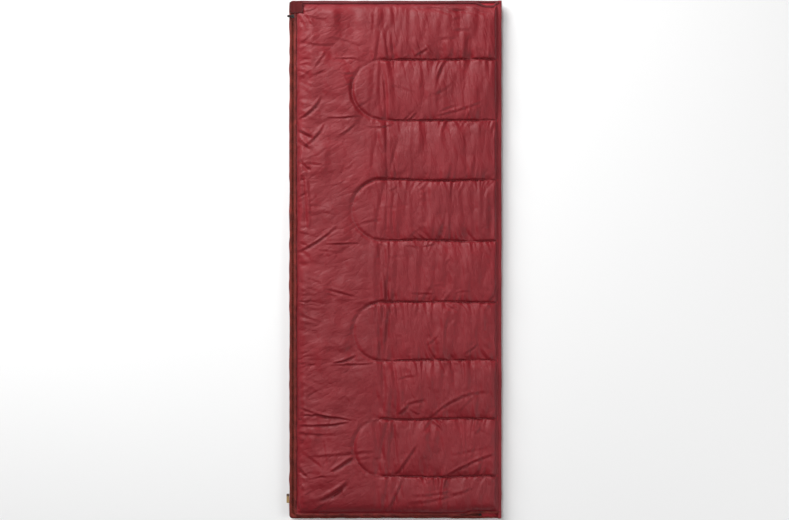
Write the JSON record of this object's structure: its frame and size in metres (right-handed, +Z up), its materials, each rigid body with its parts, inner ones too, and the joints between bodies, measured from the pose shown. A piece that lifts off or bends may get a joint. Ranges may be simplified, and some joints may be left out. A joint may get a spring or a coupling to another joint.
{
  "type": "rectangular sleeping bag",
  "caption": "Rectangular two-quilt sleeping bag lying flat and zipped shut, with a side and foot zip, bound edges and a quilted cover that folds open about its spine.",
  "frame": {"origin": "centre of the bag's outline, on the surface it lies on", "axes": "+Z up through the quilts, +Y toward the head end, +X toward the spine, so the zip is on -X"},
  "size_m": [0.76, 1.83, 0.0566],
  "materials": {
    "casing": "satin",
    "lining": "satin",
    "batting": "matte",
    "binding": "matte",
    "zip_tape": "matte",
    "zip_coil": "satin",
    "zip_metal": "satin",
    "hook_and_loop": "matte",
    "label": "satin"
  },
  "bodies": {
    "lower_quilt": {"lower_casing": "casing", "lower_batting": "batting", "lower_lining": "lining", "lower_head_binding": "binding", "lower_zip_binding": "binding", "spine_binding": "binding", "lower_zip_tape": "zip_tape", "lower_zip_coil": "zip_coil", "zip_top_stop": "zip_metal", "zip_retaining_box": "zip_metal", "lower_loop_patch": "hook_and_loop", "side_label": "label"},
    "cover": {"cover_casing": "casing", "cover_batting": "batting", "cover_lining": "lining", "cover_head_binding": "binding", "cover_zip_binding": "binding", "cover_zip_tape": "zip_tape", "cover_zip_coil": "zip_coil", "zip_insertion_pin": "zip_metal"},
    "slider": {"zip_slider": "zip_metal"},
    "pull": {"zip_pull": "zip_metal"},
    "tab": {"closure_tab": "binding", "tab_hook_patch": "hook_and_loop"}
  },
  "joints": [
    {"name": "cover_open", "type": "hinge", "parent": "lower_quilt", "child": "cover", "pos_m": [0.376, 0, 0.0283], "axis": [0, 1, 0], "range_deg": [0, 180]},
    {"name": "slider_travel", "type": "slide", "parent": "lower_quilt", "child": "slider", "axis": [0, -1, 0], "range_m": [0, 1.725]},
    {"name": "pull_swing", "type": "hinge", "parent": "slider", "child": "pull", "pos_m": [-0.3575, 0.86, 0.0343], "axis": [0, 1, 0], "range_deg": [0, 120]},
    {"name": "tab_peel", "type": "hinge", "parent": "cover", "child": "tab", "pos_m": [-0.321, 0.8905, 0.0478], "axis": [0, 1, 0], "range_deg": [0, 120]}
  ]
}
